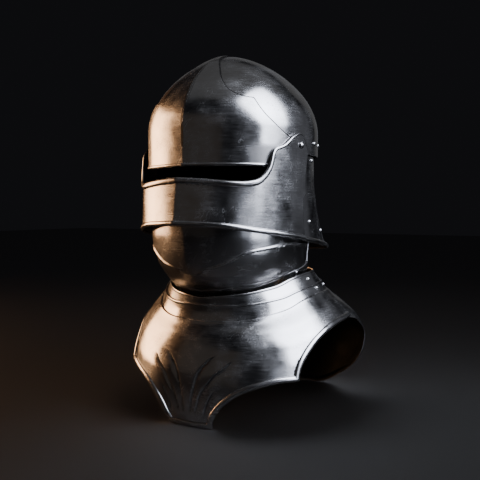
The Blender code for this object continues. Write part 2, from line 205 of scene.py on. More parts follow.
def gorget_at(degrees, drop):
    """drop is the way down from the edge of the neck, which itself climbs towards the back."""
    side = mix(look(GORGET, drop, "side"), look(GORGET, drop, "side_back"), ease(degrees, 98, 122))
    x, y = oval(degrees, side, look(GORGET, drop, "front"), look(GORGET, drop, "rear"), 0.0, GORGET_MID,
                look(GORGET, drop, "square"), look(GORGET, drop, "broad"))
    return np.stack([x, y, look(NECK_EDGE, degrees, "height") - drop], -1)


# %% [markdown]
# ## Working on a surface
#
# `slopes` gives the two directions in which a carrier runs at a point, and `outward` the direction square to
# it. `inset` walks a given distance in from a plate's edge, square to the edge, which is how a roll keeps
# its width where the edge turns. At a sharp corner the two walks meet on a mitre, as two rolled edges do.

# %% directions on a carrier
HALF_DEGREE, HALF_STEP = 0.05, 0.01
INSIDE = (20, 30)  # a point inside every carrier: so far behind the axis, and so far below the one measured


def slopes(carrier, a, b, step):
    across = carrier(a + HALF_DEGREE, b) - carrier(a - HALF_DEGREE, b)
    upwards = carrier(a, b + step * HALF_STEP) - carrier(a, b - step * HALF_STEP)
    return across / (2 * HALF_DEGREE), upwards / (2 * HALF_STEP * step)


def unit(v):
    return v / np.linalg.norm(v, axis=-1, keepdims=True)


def dot(a, b):
    return (a * b).sum(-1)


def outward(carrier, a, b, step):
    here = carrier(a, b)
    across, upwards = slopes(carrier, a, b, step)
    way = unit(np.cross(across, upwards))
    middle = np.stack([0 * here[..., 0], INSIDE[0] + 0 * here[..., 1], here[..., 2] - INSIDE[1]], -1)
    return here, way * np.where(dot(way, here - middle) < 0, -1, 1)[..., None]


# %% edges, insets and mitres
END_STEP = 1e-3


def on_edge(stretch, level, share):
    """Angle and level on a stretch of edge, and how fast both change along it."""
    first, last = stretch["share"][0], stretch["share"][-1]
    a, b = np.maximum(share - END_STEP, first), np.minimum(share + END_STEP, last)
    rates = [(look(stretch, b, c) - look(stretch, a, c)) / (b - a) for c in ("angle", level)]
    return look(stretch, share, "angle"), look(stretch, share, level), *rates


def edge_frame(carrier, step, stretch, level, share, side):
    """Point measures, pace and the measures of one millimetre inwards, at each share of a stretch."""
    angle, height, angle_rate, height_rate = on_edge(stretch, level, share)
    across, upwards = slopes(carrier, angle, height, step)
    along_edge = across * angle_rate[..., None] + upwards * height_rate[..., None]
    way = outward(carrier, angle, height, step)[1]
    inwards = side * np.cross(way, unit(along_edge))
    aa, ab, bb = dot(across, across), dot(across, upwards), dot(upwards, upwards)
    pa, pb = dot(across, inwards), dot(upwards, inwards)
    det = aa * bb - ab * ab
    return angle, height, along_edge, (bb * pa - ab * pb) / det, (aa * pb - ab * pa) / det, way


def trims(carrier, step, stretches, level, side):
    """How far each millimetre of inset shortens a stretch at its two ends, in shares."""
    cuts = np.zeros((len(stretches), 2))
    for k in range(len(stretches) - 1):
        end, start = stretches[k]["share"][-1:], stretches[k + 1]["share"][:1]
        *_, before, _, _, way = edge_frame(carrier, step, stretches[k], level, end, side)
        *_, after, _, _, _ = edge_frame(carrier, step, stretches[k + 1], level, start, side)
        turn = np.cross(unit(before), unit(after))
        half = 0.5 * math.asin(max(-1.0, min(1.0, side * float(dot(turn, way)[0]))))
        cuts[k, 1] = math.tan(half) / np.linalg.norm(before)
        cuts[k + 1, 0] = math.tan(half) / np.linalg.norm(after)
    return cuts


def inset(carrier, step, stretches, level, share, distance, side):
    cuts = trims(carrier, step, stretches, level, side)
    angle, height = np.zeros(share.shape), np.zeros(share.shape)
    for k, stretch in enumerate(stretches):
        first, last = stretch["share"][0], stretch["share"][-1]
        here = (share <= last) & (share > first if k else share >= 0)
        low, high = first + cuts[k, 0] * distance[here], last - cuts[k, 1] * distance[here]
        moved = mix(low, high, (share[here] - first) / (last - first))
        a, b, _, da, db, _ = edge_frame(carrier, step, stretch, level, moved, side)
        angle[here], height[here] = a + da * distance[here], b + db * distance[here]
    return angle, height


# %% [markdown]
# ## From a flat grid to a beaten plate
#
# A plate starts as `create_grid`, flat as the sheet on the armourer's bench, and each of its points is
# carried onto the plate's surface. Rows bunch up round a rolled edge, on the arc of a half circle, so that a
# roll is round and its foot is a crisp line. The hammer leaves a faint waviness, 0.1 to 0.2 mm deep, which is
# what breaks up the outline of a reflection, so it is put into the mesh and not faked in the finish.
# Solidify then gives the wall, inwards, with the black inner skin as its second material.
#
# Each plate can also carry painted shade, a number from 0 to 1 at every point. The steel reads it below, so
# painted shade darkens the creases and edges of the very plate that has them.

# %% rows, columns and the waviness
WAVINESS, BEVOR_WAVINESS, LAME_WAVINESS = 0.14, 0.10, 0.08  # how deep, by the size of the plate
WAVE_LENGTH, MARK_LENGTH = 31, 12


def plate_rows(foot, between, top):
    """Each row as (share of the foot's roll, share of the way up, share of the top's roll)."""
    round_foot = (1 - np.cos(np.linspace(0, np.pi, foot + 1))) / 2
    round_top = (1 - np.cos(np.linspace(np.pi, 0, top + 1))) / 2
    rows = [(f, 0, 1) for f in round_foot]
    rows += [(1, m, 1) for m in np.linspace(0, 1, between + 1)[1:]]
    rows += [(1, 1, q) for q in round_top[1:]]
    return np.array(rows)


def half_columns(n, crowd=1.0):
    """Columns on both sides of the middle line, closer together at it where crowd is above 1."""
    side = np.linspace(0, 1, n + 1) ** crowd
    return np.concatenate([-side[:0:-1], side])


def beaten(points, depth):
    """How far each point is out of true: long soft waves and smaller hammer marks."""
    waves = [noise.noise(Vector(p) / WAVE_LENGTH) for p in points]
    marks = [noise.noise(Vector(p) / MARK_LENGTH + Vector((7, 3, 5))) for p in points]
    return depth * (np.array(waves) + 0.25 * np.array(marks))


def bump(t):
    """A half circle over the stretch from 0 to 1, and nothing beside it."""
    return 2 * np.sqrt(np.clip(t * (1 - t), 0, 0.25))


# %% the plate maker
EDGE_WIDTH = 0.3  # how broad the file left each sharp edge


def to_scene(points):
    return (points + np.array([0, AXIS_Y, 0])) * MM


def finish_mesh(bm, name):
    mesh = bpy.data.meshes.new(name)
    bm.to_mesh(mesh)
    bm.free()
    mesh.shade_smooth()
    o = bpy.data.objects.new(name, mesh)
    bpy.context.scene.collection.objects.link(o)
    return o


def plate(name, carrier, shape, columns, rows, turn=1, depth=WAVINESS, step=1.0, painted_shade=None):
    """A grid laid on a carrier. shape gives angle, second measure and lift for a share and a row.

    The last argument gives 0 to 1 for the same four: how much painted shade darkens and dulls the metal
    there.
    """
    bm = bmesh.new()
    bmesh.ops.create_grid(bm, x_segments=len(columns) - 1, y_segments=len(rows) - 1, size=1)
    flat = np.array([v.co[:2] for v in bm.verts])
    u = columns[np.rint((flat[:, 0] + 1) / 2 * (len(columns) - 1)).astype(int)]
    row = rows[np.rint((flat[:, 1] + 1) / 2 * (len(rows) - 1)).astype(int)]
    angle, second, lift = shape(np.abs(u), row)
    here, way = outward(carrier, angle, second, step)
    mirror = np.stack([np.where(u < 0, -turn, turn), 1 + 0 * u, 1 + 0 * u], -1)
    here, way = (here + way * lift[:, None]) * mirror, way * mirror
    points = to_scene(here + way * beaten(here, depth)[:, None])
    for v, p in zip(bm.verts, points):
        v.co = p
    # painted shade, kept at each point for the steel to read
    if painted_shade:
        layer = bm.verts.layers.float.new("painted_shade")
        for v, amount in zip(bm.verts, painted_shade(angle, second, np.abs(u), row)):
            v[layer] = float(amount)
    bm.verts.index_update()
    bm.normal_update()
    facing = sum(f.normal.dot(Vector(way[f.verts[0].index])) for f in bm.faces)
    if facing < 0:
        bmesh.ops.reverse_faces(bm, faces=bm.faces)
    return finish_mesh(bm, name)


def walled(o, wall):
    """Gives a sheet its wall, inwards, and takes the sharpness off its edges."""
    solid = o.modifiers.new("wall", "SOLIDIFY")
    solid.thickness, solid.offset = wall * MM, -1
    solid.material_offset = 1
    dressed = o.modifiers.new("dressed edges", "BEVEL")
    dressed.width, dressed.segments = EDGE_WIDTH * MM, 2
    dressed.limit_method, dressed.angle_limit = "ANGLE", math.radians(65)
    dressed.harden_normals = True
    return o


def finished(o, body, *nodes):
    """Gives a piece its steel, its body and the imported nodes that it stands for."""
    o.data.materials.append(polished)
    o.data.materials.append(forge_black)
    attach(o, body)
    if nodes:
        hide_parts(*nodes)
    print(f"{o.name}: {len(o.data.polygons)} faces before its wall")
    return o


# %% [markdown]
# ## The steel
#
# The outside is carbon steel, ground and then polished with fine abrasive: a dark mirror with a soft edge to
# its reflections, faint strokes left by the last polishing, small handling scratches and pores that took no
# polish. Where a plate carries painted shade, its colour is darkened towards a painted brown-black and its
# mirror is dulled. The inside was never ground, because nobody sees it: it keeps the blue-black scale of
# the forge. That black lining is also why the sight looks like a dark slot from outside.

# %% colours and nodes
def linear(hex_colour):
    parts = [int(hex_colour[i:i + 2], 16) / 255 for i in (1, 3, 5)]
    return tuple(p / 12.92 if p <= 0.04045 else ((p + 0.055) / 1.055) ** 2.4 for p in parts) + (1,)


def add(tree, kind, links=(), **settings):
    """Adds a node; links maps input names or numbers to sockets or values, settings set its own fields."""
    node = tree.nodes.new("ShaderNode" + kind)
    for field, value in settings.items():
        setattr(node, field, value)
    for key, value in dict(links).items():
        if isinstance(value, bpy.types.NodeSocket):
            tree.links.new(value, node.inputs[key])
        else:
            node.inputs[key].default_value = value
    return node


def new_material(name):
    m = bpy.data.materials.new(name)
    m.use_nodes = True
    return m, m.node_tree, m.node_tree.nodes["Principled BSDF"]


def millimetres(tree, stretch=(1, 1, 1), turn=(0, 0, 0)):
    """Object coordinates in millimetres, turned and then stretched."""
    here = add(tree, "TexCoord").outputs["Object"]
    turned = add(tree, "Mapping", {"Vector": here, "Rotation": turn, "Scale": (1 / MM, 1 / MM, 1 / MM)})
    return add(tree, "Mapping", {"Vector": turned.outputs[0], "Scale": stretch}).outputs[0]


def ramp(tree, value, low, high, to_low=0.0, to_high=1.0):
    return add(tree, "MapRange", {"Value": value, "From Min": low, "From Max": high,
                                  "To Min": to_low, "To Max": to_high}, clamp=True).outputs["Result"]


def blend(tree, factor, a, b):
    """Two colours mixed by a factor."""
    return add(tree, "Mix", {0: factor, 6: a, 7: b}, data_type="RGBA").outputs[2]


def maths(tree, operation, a, b=0.0):
    return add(tree, "Math", {0: a, 1: b}, operation=operation).outputs[0]


# %% polished carbon steel
BRIGHT, PORE_BROWN, PAINTED_SHADE_BROWN = "#C2C1C2", "#8E8A86", "#1C1714"  # clean metal, pores, painted shade
CLOUD, STROKE, PORE = 24, 1.0, 1.7  # how wide the clouds, the polishing strokes and the pores are
BRUSHED = (0.06, 0.06, 1.1)  # strokes run level, so they are long sideways and fine upwards


def polished_steel():
    m, tree, shader = new_material("polished carbon steel")
    mm = millimetres(tree)
    cloud = add(tree, "TexNoise", {"Vector": mm, "Scale": 1 / CLOUD, "Detail": 3.0}).outputs[0]
    strokes = add(tree, "TexNoise", {"Vector": millimetres(tree, BRUSHED), "Scale": 1 / STROKE,
                                     "Detail": 3.0}).outputs[0]
    pores = add(tree, "TexNoise", {"Vector": mm, "Scale": 1 / PORE, "Detail": 2.0}).outputs[0]
    worn = maths(tree, "MULTIPLY", ramp(tree, pores, 0.60, 0.72), ramp(tree, cloud, 0.50, 0.62))
    lines = maths(tree, "ADD", scratches(tree, (0.5, 0.9, 0.3), 5.0), scratches(tree, (1.3, 0.2, 1.1), 9.0))
    rough = ramp(tree, cloud, 0.3, 0.7, 0.15, 0.27)
    rough = maths(tree, "ADD", rough, ramp(tree, strokes, 0.35, 0.65, -0.02, 0.04))
    rough = maths(tree, "ADD", rough, maths(tree, "MULTIPLY", worn, 0.14))
    rough = maths(tree, "ADD", rough, maths(tree, "MULTIPLY", lines, 0.22))
    # painted shade from each plate: it dulls the mirror here and darkens the colour below
    painted_shade = add(tree, "Attribute", attribute_name="painted_shade").outputs["Fac"]
    rough = maths(tree, "ADD", rough, maths(tree, "MULTIPLY", painted_shade, 0.20))
    tree.links.new(rough, shader.inputs["Roughness"])
    tint = blend(tree, maths(tree, "MULTIPLY", worn, 0.5), linear(BRIGHT), linear(PORE_BROWN))
    # painted shade: the colour darkens towards brown-black where a plate carries it
    tint = blend(tree, painted_shade, tint, linear(PAINTED_SHADE_BROWN))
    tree.links.new(tint, shader.inputs["Base Color"])
    shader.inputs["Metallic"].default_value = 1.0
    height = maths(tree, "ADD", maths(tree, "MULTIPLY", strokes, 0.35), maths(tree, "MULTIPLY", pores, 0.20))
    height = maths(tree, "SUBTRACT", height, maths(tree, "MULTIPLY", lines, 0.5))
    relief = add(tree, "Bump", {"Height": height, "Strength": 0.25, "Distance": 0.02 * MM})
    tree.links.new(relief.outputs[0], shader.inputs["Normal"])
    return m


def scratches(tree, turn, spacing):
    """Thin straight marks all running one way, broken up so that few of them show."""
    long_way = add(tree, "TexNoise", {"Vector": millimetres(tree, (0.035, 1.0, 1.0), turn),
                                      "Scale": 1 / spacing, "Detail": 1.0}).outputs[0]
    thin = ramp(tree, maths(tree, "ABSOLUTE", maths(tree, "SUBTRACT", long_way, 0.5)), 0.0, 0.006, 1.0, 0.0)
    where = add(tree, "TexNoise", {"Vector": millimetres(tree), "Scale": 1 / 30, "W": spacing},
                noise_dimensions="4D").outputs[0]
    return maths(tree, "MULTIPLY", thin, ramp(tree, where, 0.56, 0.66))


polished = polished_steel()


# %% forge-black steel for the inside
SCALE_BLACK, SCALE_BROWN = "#0D0E10", "#1A1816"  # blue-black forge scale, and where it turned brown
SCALE_PATCH, HAMMER_MARK = 9, 13


def forge_black_steel():
    m, tree, shader = new_material("forge-black steel")
    mm = millimetres(tree)
    scale = add(tree, "TexNoise", {"Vector": mm, "Scale": 1 / SCALE_PATCH, "Detail": 5.0}).outputs[0]
    marks = add(tree, "TexVoronoi", {"Vector": mm, "Scale": 1 / HAMMER_MARK},
                feature="SMOOTH_F1").outputs["Distance"]
    tint = blend(tree, ramp(tree, scale, 0.35, 0.65), linear(SCALE_BLACK), linear(SCALE_BROWN))
    tree.links.new(tint, shader.inputs["Base Color"])
    tree.links.new(ramp(tree, scale, 0.3, 0.7, 0.50, 0.72), shader.inputs["Roughness"])
    shader.inputs["Specular IOR Level"].default_value = 0.2
    relief = add(tree, "Bump", {"Height": marks, "Strength": 0.5, "Distance": 0.6 * MM})
    tree.links.new(relief.outputs[0], shader.inputs["Normal"])
    return m


forge_black = forge_black_steel()

# %% [markdown]
# ## The skull
#
# The skull is raised from one disc, so its mesh starts as a sphere. The rings of the sphere's upper half go
# onto the dome and a few more form the wall under it; what lies lower is cut away.

# %% skull
SKULL_WALL, BROW_WALL, VISOR_WALL, TAIL_WALL, BEVOR_WALL, GORGET_WALL = 1.8, 1.3, 1.8, 1.6, 1.6, 1.5
DOME_RINGS, WALL_RINGS = 56, 14


def skull_foot(degrees):
    return mix(BROW_LEVEL, CREASE_LEVEL, ease(degrees, 58, 96))


def build_skull():
    bm = bmesh.new()
    bmesh.ops.create_uvsphere(bm, u_segments=240, v_segments=2 * DOME_RINGS, radius=1)
    rings = {v: round(math.acos(max(-1, min(1, v.co.z))) / (math.pi / 2) * DOME_RINGS) for v in bm.verts}
    spare = [v for v in bm.verts if rings[v] > DOME_RINGS + WALL_RINGS]
    bmesh.ops.delete(bm, geom=spare, context="VERTS")
    flat = np.array([v.co for v in bm.verts])
    ring = np.array([rings[v] for v in bm.verts])
    degrees = np.degrees(np.arctan2(np.abs(flat[:, 0]), -flat[:, 1]))
    wall = (ring - DOME_RINGS) / WALL_RINGS * (DOME_FOOT - skull_foot(degrees)) / DOME_ARC
    place = np.where(ring <= DOME_RINGS, np.maximum(ring, 0.02) / DOME_RINGS, 1 + wall)
    here, way = outward(skull_at, degrees, place, 1 / DOME_ARC)
    mirror = np.stack([np.where(flat[:, 0] < 0, -1, 1), 1 + 0 * degrees, 1 + 0 * degrees], -1)
    here, way = here * mirror, way * mirror
    for v, p in zip(bm.verts, to_scene(here + way * beaten(here, WAVINESS)[:, None])):
        v.co = p
    return finish_mesh(bm, "skull_bowl")


skull = walled(build_skull(), SKULL_WALL)
finished(skull, "armour", "skull")

# %% [markdown]
# ## Plates between two edges
#
# Every other plate runs between a lower and an upper edge, each of them a row of stretches that meet at sharp
# corners. `between` writes down such a plate: the two edges, the rolls along them and any embossing.

# %% the shape of a plate
PLAIN = table("share width height filed", (0, 1.8, 0, 1.0), (1, 1.8, 0, 1.0))


def between(carrier, level, foot, top, foot_roll=PLAIN, top_roll=PLAIN, lift=None, turn=1, step=1.0):
    def shape(share, row):
        f, m, q = row.T
        low = inset(carrier, step, foot, level, share, f * look(foot_roll, share, "width"), turn)
        high = inset(carrier, step, top, level, share, q * look(top_roll, share, "width"), -turn)
        angle, second = mix(low[0], high[0], m), mix(low[1], high[1], m)
        out = look(foot_roll, share, "height") * bump(f) + look(top_roll, share, "height") * bump(q)
        out = out - look(foot_roll, share, "filed") * (1 - f) ** 2
        out = out - look(top_roll, share, "filed") * (1 - q) ** 2
        return angle, second, out + (lift(angle, second, share, m) if lift else 0)

    return shape


def edge(level, angles, heights):
    """An edge of one stretch, from equal steps of share."""
    return [{"share": np.linspace(0, 1, len(angles)), "angle": np.array(angles), level: np.array(heights)}]


# %% [markdown]
# ## The brow plate
#
# A second plate covers the skull from the brow up to the crown. Its upper edge runs from a narrow tongue on
# the ridge down over the temple in a long wave to the pivot. Its lower edge is turned out into a lip along
# the sight, and it is stepped off the skull by a hair of air; a dark line of painted shade runs all along the
# upper edge, and a band of painted shade dims the reflection over the ends of the sight.

# %% brow plate
BROW_TOP = [table("share angle place",
                  (0, 0, 0.10), (0.03, 6, 0.105), (0.07, 9, 0.125), (0.11, 10.3, 0.16), (0.16, 11.3, 0.205),
                  (0.22, 12, 0.27), (0.29, 17, 0.40), (0.335, 20, 0.485),
                  (0.372, 22.5, 0.585), (0.405, 25, 0.643), (0.445, 28, 0.697), (0.497, 32, 0.732),
                  (0.553, 36.5, 0.757), (0.61, 41, 0.771), (0.675, 46.4, 0.777)),
            table("share angle place",
                  (0.675, 46.4, 0.777), (0.693, 47.8, 0.808), (0.72, 50, 0.854), (0.76, 53.5, 0.909),
                  (0.808, 57.3, 0.95), (0.87, 62.5, 1.0), (0.935, 68, 1.042), (1, 74, 1.08))]
BROW_FOOT_PLACE = 1 + (DOME_FOOT - BROW_LEVEL) / DOME_ARC
BROW_FOOT = [table("share angle place",
                   *((share, angle, BROW_FOOT_PLACE) for share, angle in (
                       (0, 0), (0.22, 12), (0.335, 20), (0.497, 32), (0.675, 46.4), (0.808, 57.3), (1, 74))))]
BROW_LIP = table("share width height filed",
                 (0, 4.6, 2.1, 0), (0.68, 4.6, 2.1, 0), (0.8, 3, 0.2, 0.3), (1, 2, 0, 0.6))
BROW_RIM = table("share width height filed",
                 (0, 1.2, 0, 1.2), (0.1, 1.5, 0, 1.3), (0.2, 2.4, 0, 1.6), (1, 2.4, 0, 1.6))
BROW_AIR = 0.9
BAND_LEVELS, BAND_START = (22, 30), (36, 46)  # millimetres over the sight, degrees round from the face


def brow_lift(angle, place, share, m):
    return BROW_AIR + BROW_WALL + 0 * angle


def brow_painted_shade(angle, place, share, row):
    """Painted shade: a dark line along the upper edge, and a band over the ends of the sight that dims it
    there.
    """
    above = (BROW_FOOT_PLACE - place) * DOME_ARC
    edge = 0.95 * ease(1 - row[:, 2], 0.02, 0.25) * ease(share, 0.02, 0.08)
    band = 0.55 * (1 - ease(above, *BAND_LEVELS)) * ease(above, 2, 6) * ease(angle, *BAND_START)
    return np.maximum(edge, band)


brow_shape = between(skull_at, "place", BROW_FOOT, BROW_TOP, BROW_LIP, BROW_RIM, brow_lift, step=1 / DOME_ARC)
brow = plate("brow_reinforce", skull_at, brow_shape, half_columns(130), plate_rows(10, 84, 6),
             step=1 / DOME_ARC, painted_shade=brow_painted_shade)
finished(walled(brow, BROW_WALL), "armour", "brow_plate")

# %% [markdown]
# ## The visor
#
# The visor's upper edge is rolled outwards over a wire, which stiffens the edge of the sight and turns a
# lance point aside. The roll follows the sight, climbs the side arm and thins out towards the pivot. The
# lower rim is rolled in the same way, and the rear edge, darkened by a line of painted shade, runs down over
# the tail in two shallow waves with a cusp.

# %% visor
VISOR_TOP = table("share angle height foot",
                  (0, 0, 311, 0), (0.13, 14, 309.5, 10), (0.26, 28, 307.2, 19), (0.38, 39, 306, 28),
                  (0.50, 47, 308.3, 37), (0.57, 51.5, 314.5, 43), (0.63, 55, 325, 48), (0.70, 57.5, 340, 54),
                  (0.76, 60, 346.5, 59), (0.80, 66, 351, 64), (0.87, 74, 362.5, 71), (0.93, 81, 367.5, 77),
                  (1, 89.8, 348, 83.4))
VISOR_REAR = table("up shift",
                   (0, 0), (0.3, -2.4), (0.42, -3), (0.5, 0.2), (0.58, -1.6), (0.75, -1.2), (1, 0))
REAR_REACH = 6  # the power with which the waves fade in front of the rear edge
RIM = table("angle height",
            (0, 252.3), (25, 250.4), (50, 243.4), (84, 232.7), (110, 223.5), (145, 212), (180, 208))
SIGHT_ROLL = table("share width height filed",
                   (0, 8.0, 2.8, 0), (0.5, 8.0, 2.9, 0), (0.62, 6.6, 2.6, 0), (0.74, 4.6, 1.5, 0),
                   (0.85, 3.4, 0.8, 0), (1, 2.6, 0.3, 0))
RIM_ROLL = table("share width height filed", (0, 6.8, 2.7, 0), (1, 6.8, 2.7, 0))
visor_foot_angles = look(VISOR_TOP, np.linspace(0, 1, 40), "foot")
VISOR_FOOT = edge("height", visor_foot_angles, look(RIM, visor_foot_angles, "height"))
visor_plain = between(visor_at, "height", VISOR_FOOT, [VISOR_TOP], RIM_ROLL, SIGHT_ROLL)


def visor_shape(share, row):
    angle, height, out = visor_plain(share, row)
    return angle + look(VISOR_REAR, row[:, 1], "shift") * share**REAR_REACH, height, out


# painted shade: a dark line along the rear edge, where the visor lies over the tail
def visor_painted_shade(angle, height, share, row):
    return 0.9 * (share > 0.999)


visor = plate("visor_plate", visor_at, visor_shape, half_columns(130), plate_rows(10, 70, 12),
              painted_shade=visor_painted_shade)
finished(walled(visor, VISOR_WALL), "visor", "visor")

# %% [markdown]
# ## The tail
#
# Behind the visor the skull ends at ear level and a second plate carries on down, tucked under it, and
# spreads into the long tail. It takes the same rolled rim as the visor.

# %% tail
tail_angles = np.linspace(180, 85, 40)
TAIL_FOOT = edge("height", tail_angles, look(RIM, tail_angles, "height"))
TAIL_TOP = edge("height", tail_angles, 0 * tail_angles + TAIL["height"][-1])
tail = plate("tail_sweep", tail_at,
             between(tail_at, "height", TAIL_FOOT, TAIL_TOP, RIM_ROLL, turn=-1),
             half_columns(110), plate_rows(10, 70, 2), turn=-1)
finished(walled(tail, TAIL_WALL), "armour", "tail_plate")

# %% [markdown]
# ## The bevor
#
# The bevor is the most worked plate of the set. A keel runs down its middle, and from it on each side an
# embossed crease climbs in a long S towards the ear. Above the crease the metal swells, below it the
# hammer set it back. Its rear edges are rolled, and two arms, hidden in the helmet, rise to the pivots.

# %% bevor
BEVOR_EDGE = table("angle top foot",
                   (0, 296, 160), (40, 296, 166), (56, 299, 168), (66, 312, 170), (72, 345, 172),
                   (76, 357, 173), (80, 361, 174), (84, 357, 175), (88, 345, 177), (94, 312, 180),
                   (104, 290, 184), (118, 276, 190))
CREASE = table("angle height",
               (0, 189), (6.4, 192.2), (16, 198), (26, 203), (32, 207.7), (42.5, 217.2), (48, 220.3),
               (54, 222.3), (67, 225.1), (83, 226.3), (118, 226.5))
SWELL, LEDGE, SET_BACK = 1.5, 1.1, 2.9  # the swelling over the crease, the ledge on it, the step under it
REAR_ROLL = 1.3
BEVOR_REACH, BEVOR_ROLL_SHARE = 118.0, 0.027
bevor_angles = np.linspace(0, BEVOR_REACH, 60)
BEVOR_FOOT = edge("height", bevor_angles, look(BEVOR_EDGE, bevor_angles, "foot"))
BEVOR_TOP = edge("height", bevor_angles, look(BEVOR_EDGE, bevor_angles, "top"))


def bevor_lift(angle, height, share, m):
    """The S crease: swollen above, set back below, fading at the keel and at the rear roll."""
    above = height - look(CREASE, angle, "height")
    swell = SWELL * np.exp(-np.maximum(above, 0) / 9) + LEDGE * bump((above + 0.6) / 3.4)
    drop = SET_BACK * ease(-above, 0, 1.6) * np.exp(-np.maximum(-above - 1.6, 0) / 13)
    fade = ease(angle, 3, 16) * (1 - ease(angle, 104, 112))
    rear_roll = REAR_ROLL * bump(np.clip((1 - share) / BEVOR_ROLL_SHARE, 0, 1))
    return (swell - drop) * fade + rear_roll


def bevor_painted_shade(angle, height, share, row):
    """Painted shade: darkens and dulls a line just above the crease and along the rear edge."""
    above = height - look(CREASE, angle, "height")
    return 0.6 * bump((above - 2.4) / 2.4) * ease(angle, 6, 20) + 0.7 * ease(share, 0.985, 0.995)


rear = 1 - BEVOR_ROLL_SHARE * (1 - np.cos(np.linspace(np.pi, 0, 11))) / 2
bevor_half = np.concatenate([np.linspace(0, rear[0], 110)[:-1], rear])
bevor = plate("bevor_shell", bevor_at,
              between(bevor_at, "height", BEVOR_FOOT, BEVOR_TOP, lift=bevor_lift),
              np.concatenate([-bevor_half[:0:-1], bevor_half]), plate_rows(2, 150, 2), depth=BEVOR_WAVINESS,
              painted_shade=bevor_painted_shade)
finished(walled(bevor, BEVOR_WALL), "armour", "bevor_plate")

# %% throat lame under the bevor
LAYER = 2.2  # from the face of one plate to the face of the next over it
THROAT_EDGE = table("angle top foot",
                    (0, 169.5, 154.5), (42, 177.5, 161.5), (63, 182, 165), (89, 190.5, 172),
                    (100, 195.5, 176), (112, 203, 181))
throat_angles = np.linspace(0, THROAT_EDGE["angle"][-1], 40)
throat_foot, throat_top = (edge("height", throat_angles, look(THROAT_EDGE, throat_angles, c))
                           for c in ("foot", "top"))
throat = plate("throat_lame", bevor_at,
               between(bevor_at, "height", throat_foot, throat_top, lift=lambda a, b, s, m: LAYER + 0 * a),
               half_columns(90), plate_rows(3, 12, 5), depth=LAME_WAVINESS)
finished(walled(throat, GORGET_WALL), "armour", "bevor_throat_lame")

# %% [markdown]
# ## The gorget
#
# Four short lames make the gorget's neck, each slipped behind the one below it. The front plate spreads from
# them over the chest: a level tip, two hollow scallops, a pointed corner at each side and the arm cut-out
# above it. A roll runs along the whole border and mitres at the corners. From the tip three flutes fan out
# on each side. The back plate is rounder and plain.

# %% neck lames
LAME_EDGE = table("angle collar neck",
                  (0, -28.5, -20), (30, -31.5, -18.5), (55, -30, -15.5), (80, -28, -11.8), (180, -27, -11.5))
THIN_ROLL = table("share width height filed", (0, 2.4, 0.35, 0), (1, 2.4, 0.35, 0))


def neck_lame(name, node, column, foot, last, first, layer):
    angles = np.linspace(first, last, 50)
    turn = 1 if last > first else -1
    o = plate(name, gorget_at,
              between(gorget_at, "drop", edge("drop", angles, foot + 0 * angles),
                      edge("drop", angles, look(LAME_EDGE, angles, column)), PLAIN, THIN_ROLL,
                      lambda a, b, s, m: -LAYER * layer + 0 * a, turn),
              half_columns(100), plate_rows(3, 18, 6), turn, depth=LAME_WAVINESS)
    return finished(walled(o, GORGET_WALL), "armour", node)


neck_lame("collar_lame_front", "front_collar_lame", "collar", -8, 104, 0, 2)
neck_lame("neck_lame_front", "front_neck_lame", "neck", 5, 102, 0, 1)
neck_lame("collar_lame_back", "back_collar_lame", "collar", -6, 97, 180, 4)
neck_lame("neck_lame_back", "back_neck_lame", "neck", 6, 96, 180, 3)

# %% front plate
FRONT_OUTLINE = [
    table("share angle drop", (0, 0, 131.5), (0.075, 11.3, 131.5)),
    table("share angle drop", (0.075, 11.3, 131.5), (0.105, 12.2, 121.5), (0.14, 13.6, 113),
          (0.185, 16.2, 104), (0.235, 20, 95), (0.29, 25, 86.5), (0.36, 32.5, 80.5), (0.44, 42, 78.2),
          (0.53, 54.6, 82)),
    table("share angle drop", (0.53, 54.6, 82), (0.60, 55.2, 75.5), (0.68, 57, 66), (0.75, 61, 56),
          (0.83, 68, 47), (0.91, 80, 40.5), (1, 99, 36.5))]
FRONT_NECK = [table("share angle drop",
                    (0, 0, 0), (0.07, 7, 0), (0.12, 13, 0), (0.17, 19, 0), (0.22, 26, 0), (0.28, 34, 0),
                    (0.36, 44, 0), (0.46, 55, 0), (0.53, 62, 0), (0.60, 68, 0), (0.68, 75, 0), (0.75, 82, 0),
                    (0.83, 90, 0), (0.91, 97, 0), (1, 105, 0))]
BORDER_ROLL = table("share width height filed", (0, 7.6, 2.3, 0), (1, 7.6, 2.3, 0))
FLUTES = [table("angle drop", (23.5, 45), (18.5, 55), (13.5, 64), (9.4, 76), (6, 90), (3.2, 116)),
          table("angle drop", (15.8, 38), (11, 46), (6.8, 57), (4, 71), (2.3, 90), (1.1, 114)),
          table("angle drop", (14.8, 77), (11.5, 88), (9.4, 99), (8.2, 109), (7.6, 121))]
FLUTE_WIDTH, FLUTE_DEPTH, FLUTE_EDGE = 2.8, 2.3, 0.6
FLUTE_START, FLUTE_END = 12, 10  # over how many millimetres a flute fades in and out
DEGREE = math.radians(1) * 150  # one degree round the front plate, in millimetres


def flute_lines(angle, drop):
    """For each flute, the way across it in millimetres and how far it has faded towards its ends."""
    for flute in FLUTES:
        down = flute["drop"]
        line = along(drop, down, flute["angle"])
        lean = (along(drop + 1, down, flute["angle"]) - along(drop - 1, down, flute["angle"])) / 2
        apart = (angle - line) * DEGREE / np.hypot(1, lean * DEGREE)
        begins = ease(drop, down[0], down[0] + FLUTE_START)
        yield apart, begins * (1 - ease(drop, down[-1] - FLUTE_END, down[-1]))


def flutes(angle, drop, share, m):
    """Each flute is a sharp line with a hollow on its outer side, and it fades at both ends."""
    out = 0 * angle
    for apart, ends in flute_lines(angle, drop):
        outer, inner = np.exp(-np.abs(apart) / FLUTE_WIDTH), np.exp(-((apart / FLUTE_EDGE) ** 2))
        hollow = np.where(apart > 0, outer, inner)
        out = out - FLUTE_DEPTH * ends * hollow
    return out


def flute_painted_shade(angle, drop, share, row):
    """Painted shade along the bottom of each flute."""
    return 0.75 * sum(ends * np.exp(-((apart - 0.3) / 1.1) ** 2) for apart, ends in flute_lines(angle, drop))


